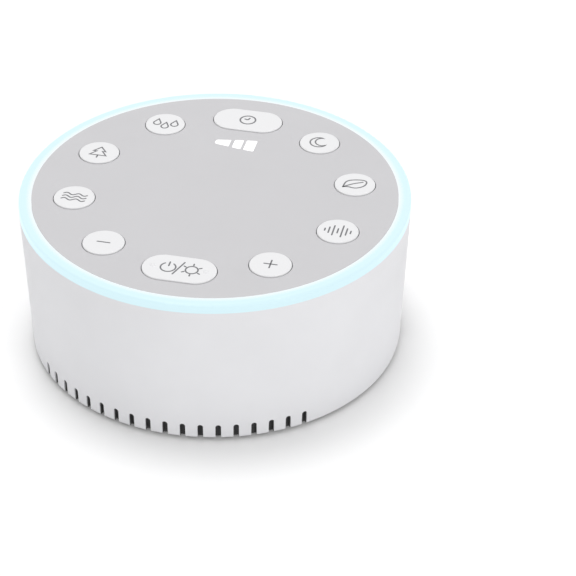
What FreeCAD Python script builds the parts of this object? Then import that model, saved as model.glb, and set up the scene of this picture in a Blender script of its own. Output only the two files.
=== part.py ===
import math
import os

import FreeCAD
import Part
from FreeCAD import Vector

os.makedirs("parts", exist_ok=True)

# Millimetres. Origin: centre of the resting face. +Z up, -Y the power key, +Y the cable port.

# Whole object
RADIUS = 52.0
HEIGHT = 44.0
FIT = 0.3
CONTACT = 0.1

# Foot and base
FOOT_PROUD = 0.6
FOOT_THICK = 1.4
FOOT_WIDTH = 5.0
FOOT_EDGE = 0.8
BASE_THICK = 2.0
BASE_BOTTOM = FOOT_PROUD
BASE_TOP = BASE_BOTTOM + BASE_THICK

# Housing
WALL = 2.4
HOUSING_BOTTOM = 0.9
HOUSING_TAPER = 1.5
HOUSING_BOTTOM_R = RADIUS - HOUSING_TAPER
HOUSING_FILLET = 0.7
SLOT_WALL = 1.2
CLOTH_THICK = 0.5
RING_HEIGHT = 2.4
HOUSING_TOP = HEIGHT - RING_HEIGHT
BASE_R = HOUSING_BOTTOM_R - SLOT_WALL - FIT - CLOTH_THICK
FOOT_OUT = BASE_R - FOOT_EDGE
FOOT_IN = FOOT_OUT - FOOT_WIDTH

# Inner frame that carries the speaker
FRAME_THICK = 2.0
POST_LONG = 4.9
FRAME_BOTTOM = BASE_TOP + POST_LONG
FRAME_TOP = FRAME_BOTTOM + FRAME_THICK
FRAME_R = BASE_R
LEDGE_THICK = 1.5
LEDGE_WIDTH = 2.2

# Slots round the foot of the wall
SLOT_WIDTH = 1.45
SLOT_TOP = 5.3
SLOT_PITCH = 5.25
FRONT_SLOTS = 18
FRONT_CENTRE = -94.0
REAR_SLOTS = 14
REAR_FIRST = 11.5

# Speaker, facing down on the inner frame
SPEAKER_R = 23.0
SPEAKER_RIM = 3.0
SURROUND_R = SPEAKER_R - SPEAKER_RIM
FRAME_HOLE_R = SURROUND_R - 1.0
GASKET_THICK = 0.8
FLANGE_PLATE = 1.0
GASKET_TOP = FRAME_TOP + GASKET_THICK
FLANGE_TOP = GASKET_TOP + FLANGE_PLATE
BASKET_DEPTH = 8.2
SEAT_Z = FLANGE_TOP + BASKET_DEPTH
BASKET_SHEET = 1.3
MAGNET_R = 12.5
MAGNET_HIGH = 4.6
PLATE_THICK = 2.0
POLE_R = 6.5
GAP_R = 7.9
COIL_BORE = 7.0
COIL_FORMER = 0.3
CONE_EDGE = 3.1
PAPER = 0.4
WINDOW_ANGLES = [45, 135, 225, 315]
WINDOW_WIDTH = 9.0

# Posts, columns and their screws
POST_R = 3.2
POST_OFF = 4.0
POST_CIRCLE = SPEAKER_R + POST_OFF
BASE_SHANK_R = 1.25
BASE_HEAD_R = 2.3
BASE_HEAD_H = 1.6
BASE_HEAD_Z = 1.4
BASE_SCREW_TOP = 17.0

# Top: light ring and deck
RING_WIDTH = 3.4
DECK_R = RADIUS - RING_WIDTH
DECK_THICK = 2.0
DECK_BOTTOM = HEIGHT - DECK_THICK
SKIRT_GAP = 0.4
RING_SKIRT = 2.0
SKIRT_OUT = RADIUS - WALL - SKIRT_GAP
SKIRT_IN = SKIRT_OUT - RING_SKIRT
RING_SKIRT_DROP = 4.6
RING_EDGE = 0.6

# Control board under the deck
BOARD_EDGE = 0.7
BOARD_R = SKIRT_IN - BOARD_EDGE
BOARD_THICK = 1.6
BOARD_DROP = 7.4
BOARD_TOP = DECK_BOTTOM - BOARD_DROP
BOARD_BOTTOM = BOARD_TOP - BOARD_THICK
BOSS_R = 2.4
BOSS_CIRCLE = 22.0
SMALL_SHANK_R = 0.9
SMALL_HEAD_R = 1.7
SMALL_HEAD_H = 1.2
SMALL_SCREW = 5.0
RING_LAMP = (1.6, 2.4, 1.6)
LEVEL_LAMP = (2.0, 1.6, 1.2)
CHIPS = [(9.0, 9.0, 1.2, 0.0, -4.5), (5.0, 4.0, 1.5, -12.0, -2.0), (4.0, 4.0, 1.0, 11.0, 4.0)]
CAN_R = 2.5
CAN_HIGH = 5.4
CANS = [(-8.0, 12.0), (8.0, -13.0)]

# Keys
KEY_FROM_EDGE = 14.7
KEY_CIRCLE = RADIUS - KEY_FROM_EDGE
KEY_HOLE_R = 5.65
KEY_GAP = 0.2
KEY_PROUD = 0.35
KEY_TRAVEL = 0.6
PILL_HALF = 4.2
FLANGE_EXTRA = 1.0
FLANGE_THICK = 0.8
STEM_R = 1.5
SWITCH_SIZE = 6.0
SWITCH_H = 3.5
PLUNGER_R = 1.6
PLUNGER_HIGH = 3.6
PLUNGER_RISE = 1.4
PLUNGER_BOTTOM = BOARD_TOP + PLUNGER_RISE
PLUNGER_TOP = PLUNGER_BOTTOM + PLUNGER_HIGH
NIB_OFFSET = 6.9
NIB_R = 1.0
NIB_PROUD = 0.32

# Level windows: left end, right end, half height at each end
WINDOWS = [(-6.2, -2.1, 1.0, 1.7), (-1.1, 1.4, 1.95, 2.4), (2.2, 5.1, 2.45, 2.8)]
WINDOW_INSET = 12.6
WINDOW_Y = KEY_CIRCLE - WINDOW_INSET

# Cable port and its board
PORT_WIDTH = 13.6
PORT_HEIGHT = 7.4
USB_WIDTH = 14.0
USB_THICK = 1.6
USB_PAD = 0.3
SOCKET_W = 8.94
SOCKET_H = 3.2
SOCKET_LONG = 7.35
SOCKET_INSET = 3.6
SOCKET_FRONT = HOUSING_BOTTOM_R - SOCKET_INSET
SOCKET_WALL = 0.3
USB_BOTTOM = FRAME_TOP + USB_PAD
USB_TOP = USB_BOTTOM + USB_THICK
USB_START = SPEAKER_R + POST_OFF
USB_END = SOCKET_FRONT - 1.9
PORT_Z = USB_TOP + SOCKET_H / 2
TONGUE = (6.6, 4.4, 0.7)
WIRE_SOCKET = (5.0, 4.0, 4.0)

# Plug and cord
SHELL_W = SOCKET_W - 2 * SOCKET_WALL - 2 * CONTACT
SHELL_H = SOCKET_H - 2 * SOCKET_WALL - 2 * CONTACT
SHELL_LONG = 6.2
SHELL_THICK = 0.3
PLUG_W = 12.2
PLUG_H = 6.4
PLUG_GAP = 0.7
PLUG_LONG = 22.0
PLUG_START = SOCKET_FRONT + PLUG_GAP
PLUG_END = PLUG_START + PLUG_LONG
COLLAR_R = 3.15
COLLAR_STEPS = [(0.0, 2.2), (0.35, 1.7), (0.1, 1.6), (0.5, 1.9)]
COLLAR_END = PLUG_END + sum(step[1] for step in COLLAR_STEPS)
CORD_R = 2.0

# Spare cord behind the body: a flat coil in two layers, then a tail to the supply plug
COIL_X = -22.4
COIL_Y = 78.5
COIL_OUT = 25.0
COIL_PITCH = 4.6
COIL_LAYER = 4.55
COIL_START = 112.0
COIL_END = 118.0
COIL_TURNS_IN = 3.25
COIL_TURNS_OUT = 3
FLOOR_GAP = 0.05
END_STRAIGHT = 2 * CORD_R
LEAD_POINTS = [(0.0, 92.3, 13.0), (-9.9, 105.0, 9.0)]
LEAD_LAST_RUN = 9.4
TAIL_FIRST_RUN = 17.0
TAIL_POINTS = [(-60.5, 76.9, 3.8), (-58.2, 66.75, 3.8)]
CURVE_SHARE = 0.45
FAR_W = 14.0
FAR_H = 7.5
FAR_LONG = 18.0
FAR_RELIEF_R = 2.9
FAR_RELIEF_LONG = 6.0
FAR_SHELL = (12.0, 4.5, 12.0)


def at(radius, degrees, z=0.0):
    angle = math.radians(degrees)
    return Vector(radius * math.cos(angle), radius * math.sin(angle), z)


def revolved(points):
    """A solid turned about Z from (radius, height) points."""
    corners = [Vector(r, 0, z) for r, z in points]
    outline = Part.makePolygon(corners + [corners[0]])
    return Part.Face(outline).revolve(Vector(), Vector(0, 0, 1), 360)


def disc(radius, bottom, top, x=0.0, y=0.0):
    return Part.makeCylinder(radius, top - bottom, Vector(x, y, bottom))


def ring(inner, outer, bottom, top):
    return revolved([(inner, bottom), (outer, bottom), (outer, top), (inner, top)])


def block(width, depth, height, x, y, bottom):
    """A box centred on x and starting at y."""
    return Part.makeBox(width, depth, height, Vector(x - width / 2, y, bottom))


def turned(shape, degrees):
    result = shape.copy()
    result.rotate(Vector(), Vector(0, 0, 1), degrees)
    return result


def moved(shape, x, y, z):
    result = shape.copy()
    result.translate(Vector(x, y, z))
    return result


def around(shape, angles):
    """The same shape at each angle about Z."""
    return [turned(shape, angle) for angle in angles]


def bar(width, height, start, end, z, radius=None):
    """A bar along Y with rounded long edges, centred on x = 0 and on z."""
    radius = height / 2 - 0.001 if radius is None else radius
    box = Part.makeBox(width, end - start, height, Vector(-width / 2, start, z - height / 2))
    along = [e for e in box.Edges if abs(e.Length - (end - start)) < 1e-6
             and abs(e.tangentAt(e.FirstParameter).y) > 0.99]
    return box.makeFillet(radius, along)


def pill(radius, half, bottom, top):
    """A disc, or a stadium along X when half is more than zero, centred on the origin."""
    if half == 0:
        return disc(radius, bottom, top)
    middle = Part.makeBox(2 * half, 2 * radius, top - bottom, Vector(-half, -radius, bottom))
    ends = [disc(radius, bottom, top, side * half) for side in (-1, 1)]
    return middle.multiFuse(ends).removeSplitter()


def save(name, shapes):
    shapes = shapes if isinstance(shapes, list) else [shapes]
    solids = [solid for shape in shapes for solid in shape.Solids]
    for solid in solids:
        if not solid.isValid():
            print("not valid:", name)
    shape = solids[0] if len(solids) == 1 else Part.makeCompound(solids)
    shape.exportStep("parts/" + name + ".step")


POSTS = [36, 144, 216, 324]
BOSSES = [54, 126, 198, 270, 342]
KEYS = {
    "power": (-90, PILL_HALF),
    "plus": (-54, 0),
    "wave": (-18, 0),
    "leaf": (18, 0),
    "moon": (54, 0),
    "timer": (90, PILL_HALF),
    "drops": (126, 0),
    "tree": (162, 0),
    "sea": (198, 0),
    "minus": (234, 0),
}

# Base: plate, four posts, a cone under the speaker, a groove for the foot
base = disc(BASE_R, BASE_BOTTOM, BASE_TOP)
base = base.cut(ring(FOOT_IN, FOOT_OUT, BASE_BOTTOM, FOOT_THICK))
spreader = Part.makeCone(MAGNET_R, POST_R, POST_LONG - 0.7, Vector(0, 0, BASE_TOP))
posts = [disc(POST_R, BASE_TOP, FRAME_BOTTOM, *at(POST_CIRCLE, angle)[0:2]) for angle in POSTS]
base = base.multiFuse([spreader] + posts)
for angle in POSTS:
    spot = at(POST_CIRCLE, angle)
    head_hole = disc(BASE_HEAD_R + FIT, 0, BASE_HEAD_Z + BASE_HEAD_H, spot.x, spot.y)
    shank_hole = disc(BASE_SHANK_R + CONTACT, 0, FRAME_BOTTOM + 1, spot.x, spot.y)
    base = base.cut(head_hole).cut(shank_hole)
save("base_cover", base)

foot = ring(FOOT_IN, FOOT_OUT, 0, FOOT_THICK)
low = [e for e in foot.Edges if e.BoundBox.ZMax < 1e-6]
save("foot_ring", foot.makeFillet(0.4, low))

base_screw = disc(BASE_HEAD_R, BASE_HEAD_Z, BASE_HEAD_Z + BASE_HEAD_H)
base_screw = base_screw.fuse(disc(BASE_SHANK_R, BASE_HEAD_Z + BASE_HEAD_H, BASE_SCREW_TOP))
base_screw = base_screw.cut(pill(0.4, 1.3, 0, BASE_HEAD_Z + 0.8))
save("base_screws", [moved(base_screw, *at(POST_CIRCLE, angle)) for angle in POSTS])

# Housing: a wall with a little draft, thin at its foot, a ledge on the frame, the slots and the port
inner_bottom = HOUSING_BOTTOM_R - WALL
inner_top = RADIUS - WALL
foot_in = HOUSING_BOTTOM_R - SLOT_WALL
housing = revolved([
    (foot_in, HOUSING_BOTTOM), (HOUSING_BOTTOM_R, HOUSING_BOTTOM),
    (RADIUS, HOUSING_TOP), (inner_top, HOUSING_TOP),
    (inner_bottom + FIT, FRAME_TOP + LEDGE_THICK), (inner_bottom - LEDGE_WIDTH, FRAME_TOP + LEDGE_THICK),
    (inner_bottom - LEDGE_WIDTH, FRAME_TOP), (foot_in, FRAME_TOP),
])
outer_low = [e for e in housing.Edges
             if e.BoundBox.ZMax < HOUSING_BOTTOM + 0.01 and e.BoundBox.XMax > HOUSING_BOTTOM_R - 0.1]
housing = housing.makeFillet(HOUSING_FILLET, outer_low)
front = [FRONT_CENTRE + SLOT_PITCH * (i - (FRONT_SLOTS - 1) / 2) for i in range(FRONT_SLOTS)]
rear = [90 + side * (REAR_FIRST + SLOT_PITCH * i) for i in range(REAR_SLOTS) for side in (-1, 1)]
slot_low = Part.makeBox(2 * WALL + 6, SLOT_WIDTH, SLOT_TOP - SLOT_WIDTH / 2 + 1,
                        Vector(RADIUS - WALL - 5, -SLOT_WIDTH / 2, -1))
slot_round = Part.makeCylinder(SLOT_WIDTH / 2, 2 * WALL + 6,
                               Vector(RADIUS - WALL - 5, 0, SLOT_TOP - SLOT_WIDTH / 2), Vector(1, 0, 0))
slot = slot_low.fuse(slot_round)
port = bar(PORT_WIDTH, PORT_HEIGHT, SOCKET_FRONT - 4, RADIUS + 2, PORT_Z)
housing = housing.cut(Part.makeCompound(around(slot, front + rear)))
housing = housing.cut(port)
save("housing", housing)

# Cloth behind the slots, glued round the rims of the base and the frame
save("slot_cloth", ring(BASE_R, BASE_R + CLOTH_THICK, BASE_BOTTOM, FRAME_TOP - CONTACT))

# Inner frame: a baffle with the speaker hole and two pads for the small board
frame = disc(FRAME_R, FRAME_BOTTOM, FRAME_TOP).cut(disc(FRAME_HOLE_R, 0, HEIGHT))
pads = [block(USB_WIDTH, 3.0, USB_PAD, 0, y, FRAME_TOP) for y in (USB_START + 1, USB_END - 6)]
frame = frame.multiFuse(pads)
for angle in POSTS:
    spot = at(POST_CIRCLE, angle)
    frame = frame.cut(disc(BASE_SHANK_R + CONTACT, 0, HEIGHT, spot.x, spot.y))
speaker_spots = [at(SPEAKER_R - SPEAKER_RIM / 2, angle) for angle in (0, 90, 180, 270)]
for spot in speaker_spots:
    frame = frame.cut(disc(SMALL_SHANK_R, FRAME_TOP - 1.4, HEIGHT, spot.x, spot.y))
usb_spots = [Vector(side * (USB_WIDTH / 2 - 1.5), USB_START + 2.5, 0) for side in (-1, 1)]
for spot in usb_spots:
    frame = frame.cut(disc(SMALL_SHANK_R, FRAME_TOP - 1.4, HEIGHT, spot.x, spot.y))
save("inner_frame", frame)

# Speaker: gasket, basket with four windows, magnet parts, cone and its rings
gasket = ring(SURROUND_R, SPEAKER_R, FRAME_TOP, GASKET_TOP)
throat_z = SEAT_Z - 1.8
basket_in = SURROUND_R - 1.6
basket = revolved([
    (basket_in, GASKET_TOP), (SPEAKER_R, GASKET_TOP), (SPEAKER_R, FLANGE_TOP),
    (SURROUND_R - 0.4, FLANGE_TOP),
    (MAGNET_R + BASKET_SHEET, SEAT_Z - 1.4), (MAGNET_R + BASKET_SHEET, SEAT_Z),
    (MAGNET_R, SEAT_Z), (MAGNET_R, throat_z), (basket_in, FLANGE_TOP - 0.1),
])
window_low = FLANGE_TOP + 1.3
window_high = throat_z - window_low - 0.7
window = Part.makeBox(SPEAKER_R - MAGNET_R, WINDOW_WIDTH, window_high,
                      Vector(MAGNET_R, -WINDOW_WIDTH / 2, window_low))
basket = basket.cut(Part.makeCompound(around(window, WINDOW_ANGLES)))
for spot in speaker_spots:
    hole = disc(SMALL_SHANK_R + CONTACT, 0, FLANGE_TOP + 1, spot.x, spot.y)
    gasket = gasket.cut(hole)
    basket = basket.cut(hole)
save("speaker_gasket", gasket)
save("speaker_basket", basket)


def screw(head_r, shank_long):
    """A small screw, head up, with its head on z = 0."""
    shape = disc(head_r, 0, SMALL_HEAD_H).fuse(disc(SMALL_SHANK_R, -shank_long, 0))
    return shape.cut(pill(0.25, head_r / 2, SMALL_HEAD_H - 0.5, SMALL_HEAD_H))


plate_top = SEAT_Z + PLATE_THICK
magnet_top = plate_top + MAGNET_HIGH
speaker_screw = screw(SPEAKER_RIM / 2 - CONTACT, FLANGE_PLATE + GASKET_THICK + 1.2)
save("speaker_screws", [moved(speaker_screw, s.x, s.y, FLANGE_TOP) for s in speaker_spots])
save("speaker_top_plate", ring(GAP_R, MAGNET_R + BASKET_SHEET, SEAT_Z, plate_top))
save("speaker_magnet", ring(GAP_R + 1.1, MAGNET_R, plate_top, magnet_top))
yoke = disc(MAGNET_R, magnet_top, magnet_top + PLATE_THICK).fuse(disc(POLE_R, SEAT_Z, magnet_top))
save("speaker_yoke", yoke)

coil_out = COIL_BORE + COIL_FORMER
neck_z = SEAT_Z - 3.4
former = ring(COIL_BORE, coil_out, neck_z + 0.2, plate_top)
save("voice_coil", former.fuse(ring(coil_out, coil_out + COIL_FORMER, SEAT_Z - 0.6, plate_top)))
cone_r = SURROUND_R - CONE_EDGE
rim_z = GASKET_TOP - 0.3
save("speaker_cone", revolved([
    (coil_out, neck_z + 0.6), (coil_out, neck_z), (cone_r - 0.5, rim_z), (cone_r, rim_z),
    (cone_r, rim_z + PAPER), (cone_r - 0.5, rim_z + PAPER),
]))
cap_z = neck_z + 0.2
dome = revolved([
    (0, cap_z - 2.0), (3.0, cap_z - 1.7), (5.4, cap_z - 0.9), (COIL_BORE - 0.2, cap_z),
    (COIL_BORE - 0.2, cap_z + PAPER), (5.2, cap_z - 0.6), (3.0, cap_z - 1.3), (0, cap_z - 1.6),
])
save("dust_cap", dome.fuse(ring(COIL_BORE - 0.6, COIL_BORE, cap_z, cap_z + PAPER)))
surround_out = SURROUND_R - CONTACT
save("speaker_surround", revolved([
    (cone_r, rim_z), (cone_r + 0.3, rim_z - 0.6), (cone_r + 0.8, rim_z - 0.9), (cone_r + 1.4, rim_z - 0.6),
    (cone_r + 1.7, rim_z), (surround_out, rim_z), (surround_out, GASKET_TOP), (cone_r + 1.4, GASKET_TOP),
    (cone_r + 1.2, rim_z - 0.3), (cone_r + 0.8, rim_z - 0.6), (cone_r + 0.5, rim_z - 0.3),
    (cone_r + 0.3, rim_z + 0.3), (cone_r, rim_z + 0.3),
]))
spider_z = throat_z + 0.1
spider_step = (MAGNET_R - 0.05 - coil_out) / 6
crest = [(coil_out + spider_step * i, spider_z + (0.3 if i in (2, 4) else 0.0)) for i in range(7)]
save("speaker_spider", revolved(crest + [(r, z + 0.3) for r, z in reversed(crest)]))

# Light ring: a band on the wall, a ledge for the deck and a skirt down to the lamps
light_ring = revolved([
    (RADIUS, HOUSING_TOP), (RADIUS, HEIGHT), (DECK_R + CONTACT, HEIGHT), (DECK_R + CONTACT, DECK_BOTTOM),
    (SKIRT_IN, DECK_BOTTOM), (SKIRT_IN, DECK_BOTTOM - RING_SKIRT_DROP),
    (SKIRT_OUT, DECK_BOTTOM - RING_SKIRT_DROP), (SKIRT_OUT, HOUSING_TOP),
])
top_outer = [e for e in light_ring.Edges
             if e.BoundBox.ZMin > HEIGHT - 0.01 and e.BoundBox.XMax > RADIUS - 0.1]
save("light_ring", light_ring.makeFillet(RING_EDGE, top_outer))

# Deck: top plate with the key holes, level windows, screw columns and bosses
deck = disc(DECK_R, DECK_BOTTOM, HEIGHT)
columns = [disc(POST_R, FRAME_TOP, DECK_BOTTOM, *at(POST_CIRCLE, angle)[0:2]) for angle in POSTS]
bosses = [disc(BOSS_R, BOARD_TOP, DECK_BOTTOM, *at(BOSS_CIRCLE, angle)[0:2]) for angle in BOSSES]
deck = deck.multiFuse(columns + bosses)
for angle in POSTS:
    spot = at(POST_CIRCLE, angle)
    deck = deck.cut(disc(BASE_SHANK_R, FRAME_TOP, BASE_SCREW_TOP, spot.x, spot.y))
for angle in BOSSES:
    spot = at(BOSS_CIRCLE, angle)
    deck = deck.cut(disc(SMALL_SHANK_R, BOARD_TOP, BOARD_TOP + SMALL_SCREW - BOARD_THICK, spot.x, spot.y))
for degrees, half in KEYS.values():
    spot = at(KEY_CIRCLE, degrees)
    deck = deck.cut(moved(pill(KEY_HOLE_R, half, DECK_BOTTOM - 1, HEIGHT + 1), spot.x, spot.y, 0))

windows = []
for left, right, low_half, high_half in WINDOWS:
    corners = [(left, -low_half), (right, -high_half), (right, high_half), (left, low_half)]
    points = [Vector(x, WINDOW_Y + y, DECK_BOTTOM) for x, y in corners]
    face = Part.Face(Part.makePolygon(points + [points[0]]))
    window = face.extrude(Vector(0, 0, DECK_THICK))
    upright = [e for e in window.Edges if abs(e.tangentAt(e.FirstParameter).z) > 0.99]
    if left == WINDOWS[0][0]:
        near = [e for e in upright if abs(e.BoundBox.XMin - left) < 0.01]
        window = window.makeFillet(low_half * 0.85, near)
    else:
        window = window.makeFillet(0.4, upright)
    windows.append(window)
deck = deck.cut(Part.makeCompound(windows))
save("deck", deck)
save("level_windows", windows)

# Control board: holes for the columns, screws into the bosses
board = disc(BOARD_R, BOARD_BOTTOM, BOARD_TOP)
for angle in POSTS:
    spot = at(POST_CIRCLE, angle)
    board = board.cut(disc(POST_R + FIT, 0, HEIGHT, spot.x, spot.y))
for angle in BOSSES:
    spot = at(BOSS_CIRCLE, angle)
    board = board.cut(disc(SMALL_SHANK_R + CONTACT, 0, HEIGHT, spot.x, spot.y))
save("control_board", board)
flipped = screw(SMALL_HEAD_R, SMALL_SCREW)
flipped.rotate(Vector(), Vector(1, 0, 0), 180)
save("board_screws", [moved(flipped, *at(BOSS_CIRCLE, angle, BOARD_BOTTOM)) for angle in BOSSES])

# Keys, each with its switch body on the board and its plunger under the stem
KEY_TOP = HEIGHT + KEY_PROUD
FLANGE_Z = DECK_BOTTOM - CONTACT
switch_bodies = []
for name, (degrees, half) in KEYS.items():
    spot = at(KEY_CIRCLE, degrees)
    cap = pill(KEY_HOLE_R - KEY_GAP, half, FLANGE_Z - FLANGE_THICK, KEY_TOP)
    top_edges = [e for e in cap.Edges if e.BoundBox.ZMin > KEY_TOP - 0.01]
    cap = cap.makeFillet(0.3, top_edges)
    flange = pill(KEY_HOLE_R + FLANGE_EXTRA, half, FLANGE_Z - FLANGE_THICK, FLANGE_Z)
    stem = disc(STEM_R, PLUNGER_TOP, FLANGE_Z - FLANGE_THICK)
    parts = [flange, stem]
    if name == "power":
        for side in (-1, 1):
            nib = Part.makeSphere(NIB_R, Vector(side * NIB_OFFSET, 0, KEY_TOP + NIB_PROUD - NIB_R))
            parts.append(nib)
    key = cap.multiFuse(parts)
    save("key_" + name, moved(key, spot.x, spot.y, 0))
    plunger = disc(PLUNGER_R, PLUNGER_BOTTOM, PLUNGER_TOP)
    save("plunger_" + name, moved(plunger, spot.x, spot.y, 0))
    body = block(SWITCH_SIZE, SWITCH_SIZE, SWITCH_H, 0, -SWITCH_SIZE / 2, BOARD_TOP)
    body = body.cut(disc(PLUNGER_R + FIT, PLUNGER_BOTTOM - KEY_TRAVEL - 0.2, HEIGHT))
    switch_bodies.append(moved(turned(body, degrees), spot.x, spot.y, 0))
save("switch_bodies", switch_bodies)

# Parts on the control board
lamp_w, lamp_long, lamp_h = RING_LAMP
ring_lamp = block(lamp_w, lamp_long, lamp_h, BOARD_R - 1.0, -lamp_long / 2, BOARD_TOP)
ring_lamps = around(ring_lamp, [15 + 30 * i for i in range(12)])
lamp_w, lamp_long, lamp_h = LEVEL_LAMP
level_lamps = [block(lamp_w, lamp_long, lamp_h, (w[0] + w[1]) / 2, WINDOW_Y - lamp_long / 2, BOARD_TOP)
               for w in WINDOWS]
save("board_leds", ring_lamps + level_lamps)
save("board_chips", [block(*chip, BOARD_TOP) for chip in CHIPS])
save("capacitors", [disc(CAN_R, BOARD_TOP, BOARD_TOP + CAN_HIGH, x, y) for x, y in CANS])

# Small board behind the port, its socket and screws
usb_board = block(USB_WIDTH, USB_END - USB_START, USB_THICK, 0, USB_START, USB_BOTTOM)
for spot in usb_spots:
    usb_board = usb_board.cut(disc(SMALL_SHANK_R + CONTACT, 0, HEIGHT, spot.x, spot.y))
save("usb_board", usb_board)
usb_screw = screw(SMALL_HEAD_R - 0.3, USB_THICK + USB_PAD + 1.3)
save("usb_board_screws", [moved(usb_screw, s.x, s.y, USB_TOP) for s in usb_spots])

socket_back = SOCKET_FRONT - SOCKET_LONG
socket = bar(SOCKET_W, SOCKET_H, socket_back, SOCKET_FRONT, PORT_Z)
socket = socket.cut(bar(SOCKET_W - 2 * SOCKET_WALL, SOCKET_H - 2 * SOCKET_WALL,
                        socket_back + 0.8, SOCKET_FRONT + 1, PORT_Z))
tongue_w, tongue_long, tongue_h = TONGUE
socket = socket.fuse(block(tongue_w, tongue_long, tongue_h, 0, socket_back + 0.8, PORT_Z - tongue_h / 2))
save("usb_socket", socket)

wire_w, wire_long, wire_h = WIRE_SOCKET
wire_sockets = [block(wire_w, wire_long, wire_h, 0, USB_START + 0.4, USB_TOP),
                block(wire_w, wire_long, wire_h, -14.0, -14.0, BOARD_BOTTOM - wire_h)]
save("wire_sockets", wire_sockets)

# Cord plug in the port
shell_start = PLUG_START - SHELL_LONG
plug_shell = bar(SHELL_W, SHELL_H, shell_start, PLUG_START, PORT_Z)
plug_shell = plug_shell.cut(bar(SHELL_W - 2 * SHELL_THICK, SHELL_H - 2 * SHELL_THICK,
                                shell_start - 1, PLUG_START - 0.8, PORT_Z))
save("plug_shell", plug_shell)
plug_body = bar(PLUG_W, PLUG_H, PLUG_START, PLUG_END, PORT_Z, 2.4)
plug_ends = [e for e in plug_body.Edges if e.BoundBox.YMin > PLUG_END - 0.01]
save("plug_body", plug_body.makeFillet(0.8, plug_ends))

steps = []
step_y = PLUG_END
for narrower, step_long in COLLAR_STEPS:
    start = Vector(0, step_y, PORT_Z)
    steps.append(Part.makeCylinder(COLLAR_R - narrower, step_long, start, Vector(0, 1, 0)))
    step_y += step_long
save("plug_collar", steps[0].multiFuse(steps[1:]))

# Cord: centre lines are arcs and straight runs, each piece one swept tube


def arc_middle(start, tangent, end):
    """The middle point of the arc that leaves start along tangent and reaches end."""
    chord = end - start
    along = tangent.dot(chord) / chord.Length
    side = tangent * chord.Length - chord * along
    if side.Length < 1e-9:
        return None
    half_angle = math.acos(max(-1.0, min(1.0, along))) / 2
    return start + chord * 0.5 + side.normalize() * (chord.Length / 2 * math.tan(half_angle))


def arc_edge(start, tangent, end):
    middle = arc_middle(start, tangent, end)
    if middle is None:
        return Part.LineSegment(start, end).toShape()
    return Part.Arc(start, middle, end).toShape()


def biarc(start, start_way, end, end_way):
    """Two arcs that join two points and keep the direction at both."""
    gap = end - start
    both = start_way + end_way
    turn = 2 * (1 - start_way.dot(end_way))
    reach = (-gap.dot(both) + math.sqrt(gap.dot(both) ** 2 + turn * gap.dot(gap))) / turn
    joint = (start + start_way * reach + end - end_way * reach) * 0.5
    back = arc_edge(end, end_way * -1, joint)
    return [arc_edge(start, start_way, joint), back]


def rounded_run(points, share):
    """Straight runs joined by tangent arcs."""
    edges = []
    here = points[0]
    for before, corner, after in zip(points, points[1:], points[2:]):
        way_in = (corner - before).normalize()
        way_out = (after - corner).normalize()
        set_back = share * min((corner - before).Length, (after - corner).Length)
        turn = math.acos(way_in.dot(way_out))
        print("bend radius", round(set_back / math.tan(turn / 2), 2))
        first = corner - way_in * set_back
        last = corner + way_out * set_back
        edges.append(Part.LineSegment(here, first).toShape())
        edges.append(arc_edge(first, way_in, last))
        here = last
    edges.append(Part.LineSegment(here, points[-1]).toShape())
    return edges


def tube(edges, start, way):
    line = Part.Wire(Part.__sortEdges__(edges))
    section = Part.Wire([Part.Circle(start, way, CORD_R).toShape()])
    sweep = Part.BRepOffsetAPI.MakePipeShell(line)
    sweep.add(section)
    sweep.build()
    sweep.makeSolid()
    solid = sweep.shape()
    expected = math.pi * CORD_R ** 2 * line.Length
    print("tube length", round(line.Length, 1), "volume over expected", round(solid.Volume / expected, 4))
    return solid, line


LOW_Z = CORD_R + FLOOR_GAP
TOP_Z = LOW_Z + COIL_LAYER
SLOPE = COIL_PITCH / (2 * math.pi)
ANGLE_IN = math.radians(COIL_START)
ANGLE_DROP = ANGLE_IN + COIL_TURNS_IN * 2 * math.pi
ANGLE_LOW = ANGLE_DROP + math.pi
ANGLE_OUT = math.radians(COIL_END) + 2 * math.pi * (
    math.floor(ANGLE_LOW / (2 * math.pi)) + COIL_TURNS_OUT)
COIL_IN = COIL_OUT - COIL_PITCH * COIL_TURNS_IN


def coil_radius(angle):
    """Radius and its slope: in on the top layer, a dip while it drops, out on the low layer."""
    if angle <= ANGLE_DROP:
        return COIL_OUT - SLOPE * (angle - ANGLE_IN), -SLOPE
    if angle < ANGLE_LOW:
        passed = angle - ANGLE_DROP
        return COIL_IN - SLOPE * passed * (1 - passed / math.pi), -SLOPE * (1 - 2 * passed / math.pi)
    return COIL_IN + SLOPE * (angle - ANGLE_LOW), SLOPE


def coil_height(angle):
    if angle <= ANGLE_DROP:
        return TOP_Z, 0.0
    if angle < ANGLE_LOW:
        passed = angle - ANGLE_DROP
        return (LOW_Z + COIL_LAYER * (1 + math.cos(passed)) / 2, -COIL_LAYER * math.sin(passed) / 2)
    return LOW_Z, 0.0


def coil_state(angle):
    radius, radius_slope = coil_radius(angle)
    height, height_slope = coil_height(angle)
    c, s = math.cos(angle), math.sin(angle)
    spot = Vector(COIL_X + radius * c, COIL_Y + radius * s, height)
    way = Vector(radius_slope * c - radius * s, radius_slope * s + radius * c, height_slope)
    return spot, way.normalize()


def steps_between(first, last, most):
    count = math.ceil((last - first) / most - 1e-9)
    return [first + (last - first) * i / count for i in range(count)]


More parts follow.
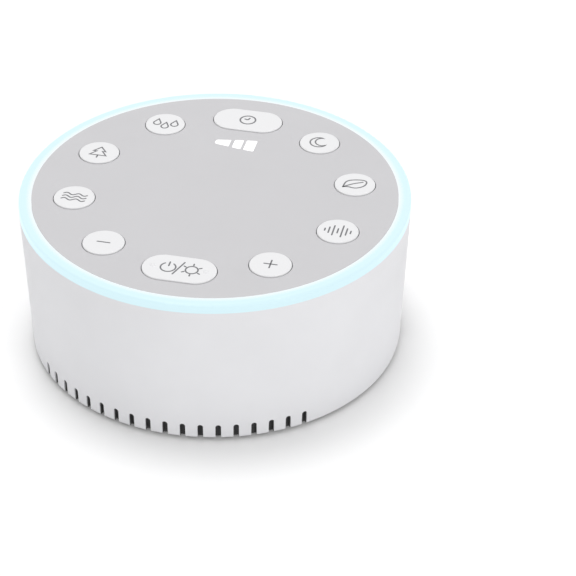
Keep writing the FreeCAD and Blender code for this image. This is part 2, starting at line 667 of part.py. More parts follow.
quarter = math.pi / 2
coil_angles = (steps_between(ANGLE_IN, ANGLE_DROP, quarter)
               + steps_between(ANGLE_DROP, ANGLE_LOW, quarter / 2)
               + steps_between(ANGLE_LOW, ANGLE_OUT, quarter) + [ANGLE_OUT])
states = [coil_state(angle) for angle in coil_angles]
coil_first = states[0][0] - states[0][1] * END_STRAIGHT
coil_last = states[-1][0] + states[-1][1] * END_STRAIGHT
coil_edges = [Part.LineSegment(coil_first, states[0][0]).toShape()]
for (spot_a, way_a), (spot_b, way_b) in zip(states, states[1:]):
    coil_edges += biarc(spot_a, way_a, spot_b, way_b)
coil_edges.append(Part.LineSegment(states[-1][0], coil_last).toShape())
coil, coil_line = tube(coil_edges, coil_first, states[0][1])
save("cord_coil", coil)

track = coil_line.discretize(Number=1500)
walked = [0.0]
for a, b in zip(track, track[1:]):
    walked.append(walked[-1] + (b - a).Length)
least = min((track[i] - track[j]).Length
            for i in range(0, len(track), 2) for j in range(i + 1, len(track))
            if walked[j] - walked[i] > 6 * CORD_R)
print("coil to itself, least gap", round(least - 2 * CORD_R, 3))

collar_face = Vector(0, COLLAR_END, PORT_Z)
lead_points = [collar_face] + [Vector(*p) for p in LEAD_POINTS]
lead_points += [coil_first - states[0][1] * LEAD_LAST_RUN, coil_first]
lead, lead_line = tube(rounded_run(lead_points, CURVE_SHARE), collar_face, Vector(0, 1, 0))
save("cord_lead", lead)

tail_points = [coil_last, coil_last + states[-1][1] * TAIL_FIRST_RUN] + [Vector(*p) for p in TAIL_POINTS]
tail, tail_line = tube(rounded_run(tail_points, CURVE_SHARE), coil_last, states[-1][1])
save("cord_tail", tail)
print("cord length", round(lead_line.Length + coil_line.Length + tail_line.Length, 1))

# Supply plug at the far end, lying on the surface
far_spot = tail_points[-1]
far_way = far_spot - tail_points[-2]
far_turn = math.degrees(math.atan2(far_way.y, far_way.x))


def far_placed(shape):
    """From a plug drawn along +Y at the origin to its place at the end of the cord."""
    return moved(turned(shape, far_turn - 90), far_spot.x, far_spot.y, far_spot.z)


relief = Part.makeCone(CORD_R + 0.25, FAR_RELIEF_R, FAR_RELIEF_LONG, Vector(), Vector(0, 1, 0))
save("far_plug_relief", far_placed(relief))
far_body_end = FAR_RELIEF_LONG + FAR_LONG
far_body = bar(FAR_W, FAR_H, FAR_RELIEF_LONG, far_body_end, 0, 1.6)
save("far_plug_body", far_placed(far_body))
shell_w, shell_h, shell_long = FAR_SHELL
far_shell = bar(shell_w, shell_h, far_body_end, far_body_end + shell_long, 0, 0.5)
inside = Part.makeBox(shell_w - 0.6, shell_long, shell_h - 0.6,
                      Vector(-shell_w / 2 + 0.3, far_body_end + 0.5, -shell_h / 2 + 0.3))
save("far_plug_shell", far_placed(far_shell.cut(inside)))
tongue = Part.makeBox(shell_w - 0.6, shell_long - 1.0, 1.9,
                      Vector(-shell_w / 2 + 0.3, far_body_end + 0.5, -shell_h / 2 + 0.3))
save("far_plug_tongue", far_placed(tongue))
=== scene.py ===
import math

import bmesh
import bpy
from mathutils import Matrix, Vector


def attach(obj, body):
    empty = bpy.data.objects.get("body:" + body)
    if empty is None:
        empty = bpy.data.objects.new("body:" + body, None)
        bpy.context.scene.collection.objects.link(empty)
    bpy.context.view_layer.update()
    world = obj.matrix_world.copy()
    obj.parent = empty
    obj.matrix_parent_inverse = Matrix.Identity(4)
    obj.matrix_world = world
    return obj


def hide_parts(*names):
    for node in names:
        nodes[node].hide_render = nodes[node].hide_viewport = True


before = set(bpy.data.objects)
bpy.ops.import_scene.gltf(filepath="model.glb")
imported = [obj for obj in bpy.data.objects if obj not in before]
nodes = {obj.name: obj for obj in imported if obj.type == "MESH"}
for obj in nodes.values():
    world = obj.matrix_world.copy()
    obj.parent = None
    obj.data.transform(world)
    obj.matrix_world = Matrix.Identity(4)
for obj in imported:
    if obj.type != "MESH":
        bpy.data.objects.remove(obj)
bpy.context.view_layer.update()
mm = 0.001
scene = bpy.context.scene
FULL_TURN = 2 * math.pi

# Camera: fitted to the photograph's ring, keys and outline
TURN = math.radians(12.251)
TILT = math.radians(35.257)
ROLL = math.radians(0.489)
FOCAL, SENSOR = 136.0, 36.0
AWAY, ACROSS, RAISED = 602.8 * mm, 19.495 * mm, 10.497 * mm
NEAREST, FARTHEST = 0.01, 20.0


def add_camera():
    back = Vector((math.sin(TURN) * math.cos(TILT), -math.cos(TURN) * math.cos(TILT), math.sin(TILT)))
    right = Vector((math.cos(TURN), math.sin(TURN), 0))
    up = Vector((-math.sin(TURN) * math.sin(TILT), math.cos(TURN) * math.sin(TILT), math.cos(TILT)))
    data = bpy.data.cameras.new("camera")
    data.lens = FOCAL
    data.sensor_width = SENSOR
    data.sensor_fit = "HORIZONTAL"
    data.clip_start = NEAREST
    data.clip_end = FARTHEST
    camera = bpy.data.objects.new("camera", data)
    scene.collection.objects.link(camera)
    camera.location = back * AWAY + right * ACROSS + up * RAISED
    rolled_right = right * math.cos(ROLL) + up * math.sin(ROLL)
    rolled_up = up * math.cos(ROLL) - right * math.sin(ROLL)
    camera.rotation_euler = Matrix((rolled_right, rolled_up, back)).transposed().to_euler()
    scene.camera = camera


add_camera()


# Material helpers
def new_material(name, colour, roughness, specular=0.5):
    """A plain Principled material. Gives the material, its node tree and its shader."""
    material = bpy.data.materials.new(name)
    material.use_nodes = True
    tree = material.node_tree
    shader = tree.nodes["Principled BSDF"]
    shader.inputs["Base Color"].default_value = (*colour, 1)
    shader.inputs["Roughness"].default_value = roughness
    shader.inputs["Specular IOR Level"].default_value = specular
    return material, tree, shader


def object_place(tree):
    """The output with the object's own coordinates."""
    return tree.nodes.new("ShaderNodeTexCoord").outputs["Object"]


def object_noise(tree, scale, detail, roughness=0.5):
    """Noise on the object's own coordinates, as a value."""
    noise = tree.nodes.new("ShaderNodeTexNoise")
    noise.inputs["Scale"].default_value = scale
    noise.inputs["Detail"].default_value = detail
    noise.inputs["Roughness"].default_value = roughness
    tree.links.new(object_place(tree), noise.inputs["Vector"])
    return noise.outputs["Fac"]


def ramp(tree, source, low, high, start=0.3, end=0.7):
    """A colour that goes from low to high as a value goes from start to end."""
    node = tree.nodes.new("ShaderNodeValToRGB")
    node.color_ramp.elements[0].position = start
    node.color_ramp.elements[1].position = end
    node.color_ramp.elements[0].color = (*low, 1)
    node.color_ramp.elements[1].color = (*high, 1)
    tree.links.new(source, node.inputs["Fac"])
    return node.outputs["Color"]


def value_of(tree, operation, *sources):
    """A math node fed by sockets or plain numbers."""
    node = tree.nodes.new("ShaderNodeMath")
    node.operation = operation
    for socket, source in zip(node.inputs, sources):
        if isinstance(source, (int, float)):
            socket.default_value = source
        else:
            tree.links.new(source, socket)
    return node.outputs["Value"]


def from_axis(tree):
    """Distance from the upright axis and height, in metres."""
    parts = tree.nodes.new("ShaderNodeSeparateXYZ")
    tree.links.new(object_place(tree), parts.inputs["Vector"])
    squares = [value_of(tree, "MULTIPLY", parts.outputs[axis], parts.outputs[axis]) for axis in "XY"]
    return value_of(tree, "SQRT", value_of(tree, "ADD", *squares)), parts.outputs["Z"]


def bump(tree, shader, height, strength, distance):
    """Bump from a height value, its distance in metres."""
    node = tree.nodes.new("ShaderNodeBump")
    node.inputs["Strength"].default_value = strength
    node.inputs["Distance"].default_value = distance
    tree.links.new(height, node.inputs["Height"])
    tree.links.new(node.outputs["Normal"], shader.inputs["Normal"])


DRIFT_SCALE, SHEEN_SCALE, SHEEN_SPREAD = 45.0, 300.0, 0.05
GRAIN_STRENGTH = 0.35


def moulded(name, colour, roughness, grain=9000.0, depth=0.00002, spread=0.02, specular=0.5):
    """Moulded plastic: fine spark grain, a slow colour drift and an uneven sheen."""
    material, tree, shader = new_material(name, colour, roughness, specular)
    slow = object_noise(tree, DRIFT_SCALE, 3.0)
    low = tuple(max(0.0, c * (1 - spread)) for c in colour)
    high = tuple(min(1.0, c * (1 + spread)) for c in colour)
    tree.links.new(ramp(tree, slow, low, high), shader.inputs["Base Color"])
    sheen = object_noise(tree, SHEEN_SCALE, 2.0)
    smooth = (max(0.0, roughness - SHEEN_SPREAD),) * 3
    matt = (min(1.0, roughness + SHEEN_SPREAD),) * 3
    tree.links.new(ramp(tree, sheen, smooth, matt), shader.inputs["Roughness"])
    fine = object_noise(tree, grain, 3.0, 0.6)
    bump(tree, shader, fine, GRAIN_STRENGTH, depth)
    return material


# Housing, deck and keys: linear colours, set by comparing the render with the photograph
WHITE = (0.815, 0.815, 0.835)
GREY = (0.565, 0.56, 0.575)
KEY_WHITE = (0.785, 0.785, 0.795)
INK = (0.17, 0.17, 0.18)
# Painted shade for the housing's slots: a dark colour on the slot walls, nearer the axis than a reach and
# below a height
SLOT_SHADE_DARK = (0.10, 0.10, 0.102)
SLOT_SHADE_REACH, SLOT_SHADE_TOP = 50.25 * mm, 5.45 * mm
# A colour mix node has several sockets of each name, so they are picked by number
MIX_FACTOR, MIX_FIRST, MIX_SECOND, MIX_RESULT = 0, 6, 7, 2


def housing_with_slot_shade():
    """Housing plastic, with painted shade: the slot walls, low down and inside the outer skin, are
    coloured dark to stand for the shade inside the slots.
    """
    material = moulded("housing_white", WHITE, 0.55, grain=7000.0, depth=0.00003)
    tree = material.node_tree
    colour = tree.nodes["Principled BSDF"].inputs["Base Color"]
    plastic = colour.links[0].from_socket
    reach, height = from_axis(tree)
    # Painted shade: the plastic's colour turns dark on the slot walls, inside the reach and low down
    inside = value_of(tree, "LESS_THAN", reach, SLOT_SHADE_REACH)
    low_down = value_of(tree, "LESS_THAN", height, SLOT_SHADE_TOP)
    slot_shade = tree.nodes.new("ShaderNodeMix")
    slot_shade.data_type = "RGBA"
    slot_shade.inputs[MIX_SECOND].default_value = (*SLOT_SHADE_DARK, 1)
    tree.links.new(plastic, slot_shade.inputs[MIX_FIRST])
    tree.links.new(value_of(tree, "MULTIPLY", inside, low_down), slot_shade.inputs[MIX_FACTOR])
    tree.links.new(slot_shade.outputs[MIX_RESULT], colour)
    return material


housing_white = housing_with_slot_shade()
deck_grey = moulded("deck_grey", GREY, 0.6, grain=8000.0, depth=0.00002, spread=0.01)
key_white = moulded("key_white", KEY_WHITE, 0.5, grain=11000.0, depth=0.00001, spread=0.008, specular=0.15)
legend_ink = moulded("legend_ink", INK, 0.5, spread=0.05)
base_dark = moulded("base_dark", (0.045, 0.045, 0.048), 0.6, grain=6000.0, depth=0.00004, spread=0.1)
cord_white = moulded("cord_white", (0.78, 0.78, 0.79), 0.5, grain=9000.0, depth=0.00001)
plug_white = moulded("plug_white", (0.80, 0.80, 0.81), 0.4, grain=9000.0, depth=0.00001)
switch_black = moulded("switch_black", (0.02, 0.02, 0.022), 0.5, spread=0.15)
socket_cream = moulded("socket_cream", (0.75, 0.74, 0.7), 0.45)
ferrite = moulded("ferrite", (0.06, 0.06, 0.065), 0.65, spread=0.3)

# Light ring: cyan on the band, fading to white towards the deck
BAND_CYAN = (0.665, 0.925, 1.0)
FADE_START, FADE_END, FADE_GRAIN = 48.3 * mm, 50.2 * mm, 1.4 * mm
RING_GLOW, WINDOW_GLOW = 0.78, 0.6


def lit_ring_material():
    material, tree, shader = new_material("lit_ring", (0.17, 0.18, 0.18), 0.45)
    reach, _ = from_axis(tree)
    grain = object_noise(tree, 3200.0, 2.0)
    spread = value_of(tree, "MULTIPLY_ADD", grain, FADE_GRAIN, -FADE_GRAIN / 2)
    fade = tree.nodes.new("ShaderNodeMapRange")
    fade.inputs["From Min"].default_value = FADE_START
    fade.inputs["From Max"].default_value = FADE_END
    tree.links.new(value_of(tree, "ADD", reach, spread), fade.inputs["Value"])
    glow = ramp(tree, fade.outputs["Result"], (1.0, 1.0, 1.0), BAND_CYAN, 0.0, 1.0)
    tree.links.new(glow, shader.inputs["Emission Color"])
    shader.inputs["Emission Strength"].default_value = RING_GLOW
    return material


def lit_window_material():
    """Milky lit windows of the level indicator, also used for the board's lamps."""
    material, tree, shader = new_material("lit_window", (0.6, 0.6, 0.6), 0.4)
    shader.inputs["Emission Color"].default_value = (1, 1, 1, 1)
    shader.inputs["Emission Strength"].default_value = WINDOW_GLOW
    haze = object_noise(tree, 900.0, 3.0)
    tree.links.new(ramp(tree, haze, (0.56,) * 3, (0.64,) * 3), shader.inputs["Base Color"])
    return material


def foot_rubber_material():
    material, tree, shader = new_material("foot_rubber", (0.03, 0.03, 0.032), 0.75, 0.3)
    pores = object_noise(tree, 4000.0, 4.0, 0.7)
    bump(tree, shader, pores, 0.5, 0.00005)
    tree.links.new(ramp(tree, pores, (0.02,) * 3, (0.045, 0.045, 0.048)), shader.inputs["Base Color"])
    return material


def brushed_metal(name, colour, roughness):
    """Plated metal with fine rolled lines along X."""
    material, tree, shader = new_material(name, colour, roughness)
    shader.inputs["Metallic"].default_value = 1.0
    stretch = tree.nodes.new("ShaderNodeMapping")
    stretch.inputs["Scale"].default_value = (400, 6000, 6000)
    tree.links.new(object_place(tree), stretch.inputs["Vector"])
    lines = tree.nodes.new("ShaderNodeTexNoise")
    lines.inputs["Scale"].default_value = 1.0
    lines.inputs["Detail"].default_value = 3.0
    tree.links.new(stretch.outputs["Vector"], lines.inputs["Vector"])
    smooth, scratched = (roughness - 0.08,) * 3, (roughness + 0.1,) * 3
    tree.links.new(ramp(tree, lines.outputs["Fac"], smooth, scratched), shader.inputs["Roughness"])
    bump(tree, shader, lines.outputs["Fac"], 0.15, 0.000005)
    return material


def woven(name, colour, scale):
    """Fine cloth: two crossed bands as height and shade."""
    material, tree, shader = new_material(name, colour, 0.85, 0.2)
    place = object_place(tree)
    threads = []
    for axis in ("X", "Z"):
        band = tree.nodes.new("ShaderNodeTexWave")
        band.bands_direction = axis
        band.inputs["Scale"].default_value = scale
        band.inputs["Distortion"].default_value = 0.4
        tree.links.new(place, band.inputs["Vector"])
        threads.append(band.outputs["Fac"])
    weave = value_of(tree, "MULTIPLY", *threads)
    dark = tuple(c * 0.4 for c in colour)
    tree.links.new(ramp(tree, weave, dark, colour, 0.1, 0.8), shader.inputs["Base Color"])
    bump(tree, shader, weave, 0.6, 0.00005)
    return material


def board_material():
    """Circuit board: green mask with faint copper runs."""
    material, tree, shader = new_material("board_green", (0.02, 0.14, 0.07), 0.35)
    runs = tree.nodes.new("ShaderNodeTexBrick")
    runs.inputs["Scale"].default_value = 260.0
    runs.inputs["Mortar Size"].default_value = 0.03
    runs.inputs["Color1"].default_value = (0.02, 0.13, 0.065, 1)
    runs.inputs["Color2"].default_value = (0.018, 0.11, 0.055, 1)
    runs.inputs["Mortar"].default_value = (0.05, 0.24, 0.12, 1)
    tree.links.new(object_place(tree), runs.inputs["Vector"])
    tree.links.new(runs.outputs["Color"], shader.inputs["Base Color"])
    return material


lit_ring = lit_ring_material()
lit_window = lit_window_material()
rubber = foot_rubber_material()
plug_metal = brushed_metal("plug_metal", (0.62, 0.62, 0.64), 0.28)
screw_metal = brushed_metal("screw_metal", (0.5, 0.5, 0.52), 0.35)
speaker_steel = brushed_metal("speaker_steel", (0.45, 0.45, 0.46), 0.4)
copper = brushed_metal("copper_wire", (0.7, 0.35, 0.16), 0.35)
slot_cloth = woven("slot_cloth", (0.16, 0.16, 0.163), 900.0)
cone_paper = woven("cone_paper", (0.07, 0.07, 0.07), 500.0)
board_green = board_material()


def named(start):
    """Names of the CAD nodes that start with a word."""
    return [node for node in nodes if node.startswith(start)]


FINISHES = (
    (housing_white, ["housing"]),
    (lit_ring, ["light_ring"]),
    (deck_grey, ["deck"]),
    (key_white, named("key_")),
    (lit_window, ["level_windows", "board_leds"]),
    (base_dark, ["base_cover", "inner_frame"]),
    (rubber, ["foot_ring", "speaker_gasket", "speaker_surround"]),
    (slot_cloth, ["slot_cloth"]),
    (screw_metal, ["base_screws", "board_screws", "usb_board_screws", "speaker_screws"]),
    (speaker_steel, ["speaker_basket", "speaker_top_plate", "speaker_yoke", "capacitors"]),
    (ferrite, ["speaker_magnet"]),
    (cone_paper, ["speaker_cone", "speaker_spider", "dust_cap"]),
    (copper, ["voice_coil"]),
    (board_green, ["control_board", "usb_board"]),
    (switch_black, ["switch_bodies", "board_chips", *named("plunger_")]),
    (socket_cream, ["wire_sockets", "far_plug_tongue"]),
    (plug_metal, ["usb_socket", "plug_shell", "far_plug_shell"]),
    (plug_white, ["plug_body", "plug_collar", "far_plug_relief", "far_plug_body"]),
)
for material, painted in FINISHES:
    for node in painted:
        slots = nodes[node].data.materials
        slots.clear()
        slots.append(material)

# Cord: from the collar, over the coil's outside, in on the top layer, out on the low one, to the plug
CORD_R = 2.0
TABLE_GAP = 0.05
COIL_X, COIL_Y = -22.4, 78.5
COIL_OUT, PITCH, LAYER = 25.0, 4.6, 4.55
TOP_TURNS, ALL_TURNS, PER_TURN = 3.25, 7, 16
SLOPE = PITCH / FULL_TURN
LOW_Z = CORD_R + TABLE_GAP
ANGLE_IN = math.radians(112)
ANGLE_DROP = ANGLE_IN + TOP_TURNS * FULL_TURN
ANGLE_LOW = ANGLE_DROP + math.pi
ANGLE_OUT = math.radians(118) + ALL_TURNS * FULL_TURN
COIL_IN = COIL_OUT - PITCH * TOP_TURNS
SPLINE_CUT = 0.981
LEAD_POINTS = [(0.0, 77.0, 13.0), (0.0, 92.3, 13.0), (-9.9, 105.0, 9.0), (-19.6, 107.0, 6.6)]
TAIL_POINTS = [(-53.8, 91.0, 2.05), (-60.5, 76.9, 3.8), (-58.2, 66.75, 3.8)]


def coil_spot(angle):
    """A point of the coil's line, pushed out a little because the spline cuts inside its points."""
    if angle <= ANGLE_DROP:
        radius, z = COIL_OUT - SLOPE * (angle - ANGLE_IN), LOW_Z + LAYER
    elif angle < ANGLE_LOW:
        passed = angle - ANGLE_DROP
        radius = COIL_IN - SLOPE * passed * (1 - passed / math.pi)
        z = LOW_Z + LAYER * (1 + math.cos(passed)) / 2
    else:
        radius, z = COIL_IN + SLOPE * (angle - ANGLE_LOW), LOW_Z
    radius /= SPLINE_CUT
    return (COIL_X + radius * math.cos(angle), COIL_Y + radius * math.sin(angle), z)


def add_cord():
    """The whole cord as one round NURBS curve along the route."""
    steps = int(round((ANGLE_OUT - ANGLE_IN) / FULL_TURN * PER_TURN))
    coil_points = [coil_spot(ANGLE_IN + (ANGLE_OUT - ANGLE_IN) * i / steps) for i in range(steps + 1)]
    route = LEAD_POINTS + coil_points + TAIL_POINTS
    curve = bpy.data.curves.new("cord", "CURVE")
    curve.dimensions = "3D"
    curve.bevel_depth = CORD_R * mm
    curve.bevel_resolution = 5
    curve.resolution_u = 6
    curve.use_fill_caps = True
    spline = curve.splines.new("NURBS")
    spline.points.add(len(route) - 1)
    for point, (x, y, z) in zip(spline.points, route):
        point.co = (x * mm, y * mm, z * mm, 1)
    spline.order_u = 3
    spline.use_endpoint_u = True
    curve.materials.append(cord_white)
    piece = bpy.data.objects.new("cord", curve)
    scene.collection.objects.link(piece)
    return piece


cord = add_cord()

# Flat pictures on the keys, a little raised like pad print. Their sizes are in millimetres
LINE = 0.40
KEY_RING, KEY_TOP = 37.3, 44.35
FIRST_KEY, KEY_STEP = -90, 36
PRINT_SUNK, PRINT_HIGH = 0.01, 0.025
SAME_SPOT = 1e-6
MITRE_LIMIT = 0.5
CAP_TURNS = (30, 60, 85)


def arc(radius, first, last, x=0.0, y=0.0, count=24):
    """Points of an arc, angles in degrees."""
    step = (last - first) / count
    return [(x + radius * math.cos(math.radians(first + step * i)),
             y + radius * math.sin(math.radians(first + step * i))) for i in range(count + 1)]


def softened(points, rounds):
    """A polyline with its corners cut until it is smooth, ends kept."""
    for _ in range(rounds):
        result = [points[0]]
        for (ax, ay), (bx, by) in zip(points, points[1:]):
            result.append((ax * 0.75 + bx * 0.25, ay * 0.75 + by * 0.25))
            result.append((ax * 0.25 + bx * 0.75, ay * 0.25 + by * 0.75))
        result.append(points[-1])
        points = result
    return points


def left_of(way):
    return Vector((-way.y, way.x))


def right_of(way):
    return Vector((way.y, -way.x))


def ways_at(spots, i, closed):
    """Directions into and out of a point of a line. At a free end they are the same."""
    last = len(spots) - 1
    before = spots[i - 1] if closed or i > 0 else spots[i]
    after = spots[(i + 1) % len(spots)] if closed or i < last else spots[i]
    way_in, way_out = [(end - start).normalized() if (end - start).length > SAME_SPOT else None
                       for start, end in ((before, spots[i]), (spots[i], after))]
    return way_in or way_out, way_out or way_in


def stroke_sections(spots, width, closed):
    """Centre, sideways direction and half width along a stroke, with round caps unless it is closed."""
    half = width / 2
    sections = []
    for i, spot in enumerate(spots):
        way_in, way_out = ways_at(spots, i, closed)
        side = left_of((way_in + way_out).normalized())
        lean = side.dot(left_of(way_in))
        sections.append((spot, side, half / max(lean, MITRE_LIMIT)))
    if closed:
        return sections
    first, last = sections[0], sections[-1]
    head, tail = right_of(first[1]), right_of(last[1])
    for turn in CAP_TURNS:
        c, s = math.cos(math.radians(turn)), math.sin(math.radians(turn))
        sections.insert(0, (first[0] - head * half * s, first[1], half * c))
        sections.append((last[0] + tail * half * s, last[1], half * c))
    return sections


def add_stroke(mesh, points, width, bottom, top, closed):
    """A ribbon of even width along 2D points."""
    spots = [Vector(p) for p in points]
    if closed and (spots[0] - spots[-1]).length < SAME_SPOT:
        spots.pop()
    rows = []
    for spot, side, reach in stroke_sections(spots, width, closed):
        left, right = spot + side * reach, spot - side * reach
        rows.append([mesh.verts.new((p.x * mm, p.y * mm, z * mm))
                     for p, z in ((left, top), (right, top), (right, bottom), (left, bottom))])
    pairs = list(zip(rows, rows[1:])) + ([(rows[-1], rows[0])] if closed else [])
    for a, b in pairs:
        for k in range(4):
            mesh.faces.new((a[k], a[(k + 1) % 4], b[(k + 1) % 4], b[k]))
    if not closed:
        mesh.faces.new(rows[0][::-1])
        mesh.faces.new(rows[-1])


def open_line(*points):
    """A stroke with two ends."""
    return list(points), False


def closed_line(*points):
    """A stroke that runs back to its start."""
    return list(points), True


POWER_X, POWER_R = -2.9, 1.95
SUN_X, SUN_R, RAY_START, RAY_END = 3.25, 1.6, 2.05, 2.65


def power_and_sun():
    """A power sign and a sun with a slash between them."""
    sign = [open_line(*arc(POWER_R, 125, 415, POWER_X)), open_line((POWER_X, 0.6), (POWER_X, 2.3))]
    slash = open_line((-1.1, -2.7), (0.75, 2.85))
    sun = [closed_line(*arc(SUN_R, 0, 360, SUN_X))]
    for i in range(6):
        a = math.radians(30 + 60 * i)
        sun.append(open_line(*[(SUN_X + r * math.cos(a), r * math.sin(a)) for r in (RAY_START, RAY_END)]))
    return [*sign, slash, *sun]


def sound_bars():
    """Upright bars, each as a place and a half height."""
    bars = ((-3.4, 0.5), (-2.3, 1.3), (-1.15, 2.2), (0, 1.0), (1.15, 2.6), (2.3, 1.5), (3.4, 0.6))
    return [open_line((x, -half), (x, half)) for x, half in bars]


def leaf():
    edge = [(-2.9, -2.0), (-2.6, 1.2), (0.4, 2.3), (3.0, 2.2), (2.9, -0.4), (0.6, -2.2), (-1.6, -1.6),
            (-2.9, -2.0)]
    vein = [(-2.9, -2.0), (-0.6, 0.0), (1.9, 1.3)]
    return [open_line(*softened(edge, 3)), open_line(*softened(vein, 2))]


def moon():
    return [closed_line(*arc(2.4, 65, 335, -0.2, 0), *arc(1.95, 310, 90, 0.75, 0.35)[1:-1])]


def clock():
    hands = softened([(-0.9, 0.35), (0, 0), (0.35, 1.0)], 1)
    return [closed_line(*arc(2.15, 0, 360)), open_line(*hands)]


def drop(x, y, size=2.0):
    """A raindrop, point up."""
    low = arc(size * 0.5, -205, 25, x, y - size * 0.2, 20)
    return closed_line(*low, (x, y + size * 0.85))


def tree_picture():
    crown = [(0, 2.6), (-1.7, 0.5), (-0.8, 0.5), (-2.3, -1.5), (2.3, -1.5), (0.8, 0.5), (1.7, 0.5)]
    return [closed_line(*crown), open_line((0, -1.5), (0, -2.7))]


def ripple(width, height, count, y):
    """A row of even waves."""
    steps = 12 * count
    return open_line(*[(-width / 2 + width * i / steps,
                        y + height * math.sin(FULL_TURN * count * i / steps)) for i in range(steps + 1)])


# In the keys' order round the deck, anticlockwise from the front one as seen from above
PICTURES = {
    "power": power_and_sun(),
    "plus": [open_line((-1.65, 0), (1.65, 0)), open_line((0, -1.7), (0, 1.7))],
    "wave": sound_bars(),
    "leaf": leaf(),
    "moon": moon(),
    "timer": clock(),
    "drops": [drop(-2.3, 0.4), drop(0.2, -1.0), drop(2.6, 0.5)],
    "tree": tree_picture(),
    "sea": [ripple(6.4, 0.42, 2, y) for y in (1.3, 0.0, -1.3)],
    "minus": [open_line((-1.65, 0), (1.65, 0))],
}
LINE_WIDTHS = {"timer": LINE * 1.1}


def print_picture(name, strokes, angle):
    """One key's picture as a mesh that moves with the key."""
    middle_x, middle_y = KEY_RING * math.cos(angle), KEY_RING * math.sin(angle)
    mesh = bmesh.new()
    for points, closed in strokes:
        placed = [(middle_x + x, middle_y + y) for x, y in points]
        width = LINE_WIDTHS.get(name, LINE)
        add_stroke(mesh, placed, width, KEY_TOP - PRINT_SUNK, KEY_TOP + PRINT_HIGH, closed)
    bmesh.ops.recalc_face_normals(mesh, faces=mesh.faces)
    data = bpy.data.meshes.new("symbol_" + name)
    mesh.to_mesh(data)
    mesh.free()
    data.materials.append(legend_ink)
    piece = bpy.data.objects.new("symbol_" + name, data)
    scene.collection.objects.link(piece)
    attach(piece, name + "_key")


for place, (name, strokes) in enumerate(PICTURES.items()):
    print_picture(name, strokes, math.radians(FIRST_KEY + KEY_STEP * place))

# Supply plug: round grip ribs down both narrow sides, made by Geometry Nodes
FAR_SPOT = Vector(TAIL_POINTS[-1]) * mm
FAR_TURN = math.atan2(-0.9753, 0.2210) - math.pi / 2
FAR_HALF_WIDTH, RIB_SINK = 7.0, 0.15
RIB_SIZES = {"Count": 7, "Spacing": 1.7 * mm, "Start": 9.9 * mm, "Side": (FAR_HALF_WIDTH - RIB_SINK) * mm,
             "Radius": 0.45 * mm, "Height": 4.2 * mm, "Material": plug_white}
RIB_SOCKETS = {"Count": "NodeSocketInt", "Spacing": "NodeSocketFloat", "Start": "NodeSocketFloat",
               "Side": "NodeSocketFloat", "Radius": "NodeSocketFloat", "Height": "NodeSocketFloat",
               "Material": "NodeSocketMaterial"}


def rib_tree():
    """Two rows of upright round ribs along Y, one each side. Gives the inputs' identifiers too."""
    tree = bpy.data.node_groups.new("grip_ribs", "GeometryNodeTree")
    tree.interface.new_socket("Geometry", in_out="OUTPUT", socket_type="NodeSocketGeometry")
    keys = {name: tree.interface.new_socket(name, in_out="INPUT", socket_type=kind).identifier
            for name, kind in RIB_SOCKETS.items()}
    given = tree.nodes.new("NodeGroupInput").outputs
    rib = tree.nodes.new("GeometryNodeMeshCylinder")
    rib.inputs["Vertices"].default_value = 20
    tree.links.new(given["Radius"], rib.inputs["Radius"])
    tree.links.new(given["Height"], rib.inputs["Depth"])
    step = tree.nodes.new("ShaderNodeCombineXYZ")
    tree.links.new(given["Spacing"], step.inputs["Y"])
    join = tree.nodes.new("GeometryNodeJoinGeometry")
    for side in (-1, 1):
        start = tree.nodes.new("ShaderNodeCombineXYZ")
        tree.links.new(value_of(tree, "MULTIPLY", given["Side"], side), start.inputs["X"])
        tree.links.new(given["Start"], start.inputs["Y"])
        row = tree.nodes.new("GeometryNodeMeshLine")
        tree.links.new(given["Count"], row.inputs["Count"])
        tree.links.new(start.outputs["Vector"], row.inputs["Start Location"])
        tree.links.new(step.outputs["Vector"], row.inputs["Offset"])
        tree.links.new(row.outputs["Mesh"], join.inputs["Geometry"])
    placed = tree.nodes.new("GeometryNodeInstanceOnPoints")
    tree.links.new(join.outputs["Geometry"], placed.inputs["Points"])
    tree.links.new(rib.outputs["Mesh"], placed.inputs["Instance"])
    real = tree.nodes.new("GeometryNodeRealizeInstances")
    tree.links.new(placed.outputs["Instances"], real.inputs["Geometry"])
    dressed = tree.nodes.new("GeometryNodeSetMaterial")
    tree.links.new(real.outputs["Geometry"], dressed.inputs["Geometry"])
    tree.links.new(given["Material"], dressed.inputs["Material"])
    result = tree.nodes.new("NodeGroupOutput")
    tree.links.new(dressed.outputs["Geometry"], result.inputs["Geometry"])
    return tree, keys


def add_ribs():
    """The ribs as a plain mesh in their place on the supply plug."""
    piece = bpy.data.objects.new("far_plug_ribs", bpy.data.meshes.new("far_plug_ribs"))
    scene.collection.objects.link(piece)
    tree, keys = rib_tree()
    modifier = piece.modifiers.new("ribs", "NODES")
    modifier.node_group = tree
    for name, size in RIB_SIZES.items():
        modifier[keys[name]] = size
    evaluated = piece.evaluated_get(bpy.context.evaluated_depsgraph_get())
    baked = bpy.data.meshes.new_from_object(evaluated)
    piece.modifiers.clear()
    baked.transform(Matrix.Translation(FAR_SPOT) @ Matrix.Rotation(FAR_TURN, 4, "Z"))
    piece.data = baked
    return piece


ribs = add_ribs()
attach(ribs, "machine")

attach(cord, "machine")
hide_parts("cord_lead", "cord_coil", "cord_tail")

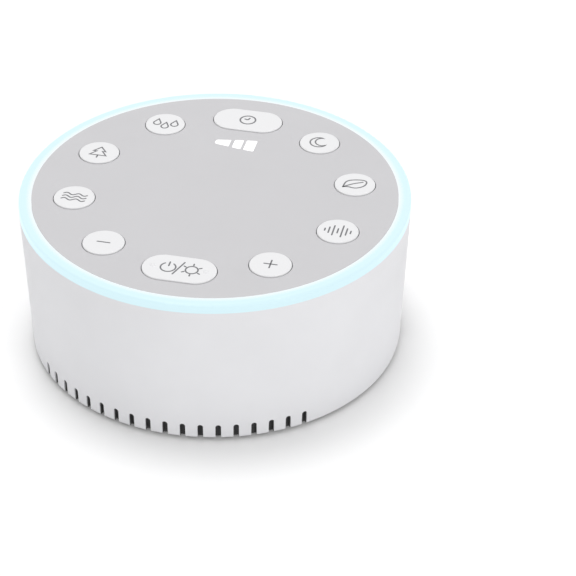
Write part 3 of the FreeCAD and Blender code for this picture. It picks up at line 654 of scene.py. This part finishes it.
# Floor, world and lamps
FLOOR_WHITE, FLOOR_LIFT, FLOOR_SIZE = 0.88, 0.09, 8
WORLD_LIGHT, WORLD_SEEN = 0.72, 1.0
LAMP_AIM = (0, 0, 0.02)


def add_floor():
    """A white floor that keeps the shadow and looks a little brighter than it lights."""
    material, tree, shader = new_material("floor", (FLOOR_WHITE,) * 3, 0.9, 0.0)
    paths = tree.nodes.new("ShaderNodeLightPath").outputs
    seen = value_of(tree, "MAXIMUM", paths["Is Camera Ray"], paths["Is Glossy Ray"])
    shader.inputs["Emission Color"].default_value = (1, 1, 1, 1)
    tree.links.new(value_of(tree, "MULTIPLY", seen, FLOOR_LIFT), shader.inputs["Emission Strength"])
    bpy.ops.mesh.primitive_plane_add(size=FLOOR_SIZE)
    floor = bpy.context.object
    floor.name = "floor"
    floor.data.materials.append(material)


def add_world():
    """White all round: brighter to the camera than as a light."""
    world = bpy.data.worlds.new("world")
    scene.world = world
    world.use_nodes = True
    tree = world.node_tree
    background = tree.nodes["Background"]
    background.inputs["Color"].default_value = (1, 1, 1, 1)
    paths = tree.nodes.new("ShaderNodeLightPath")
    strength = tree.nodes.new("ShaderNodeMapRange")
    strength.inputs["To Min"].default_value = WORLD_LIGHT
    strength.inputs["To Max"].default_value = WORLD_SEEN
    tree.links.new(paths.outputs["Is Camera Ray"], strength.inputs["Value"])
    tree.links.new(strength.outputs["Result"], background.inputs["Strength"])


def area_lamp(name, place, size, power):
    """A round lamp that faces the body."""
    data = bpy.data.lights.new(name, "AREA")
    data.shape = "DISK"
    data.size = size
    data.energy = power
    lamp = bpy.data.objects.new(name, data)
    scene.collection.objects.link(lamp)
    lamp.location = place
    lamp.rotation_euler = (Vector(LAMP_AIM) - Vector(place)).to_track_quat("-Z", "Y").to_euler()


add_floor()
add_world()
area_lamp("side_lamp", place=(0.9, -0.75, 0.5), size=0.5, power=2.1)
area_lamp("top_lamp", place=(-0.12, 0.2, 1.15), size=0.45, power=4.9)
scene.view_settings.view_transform = "Standard"
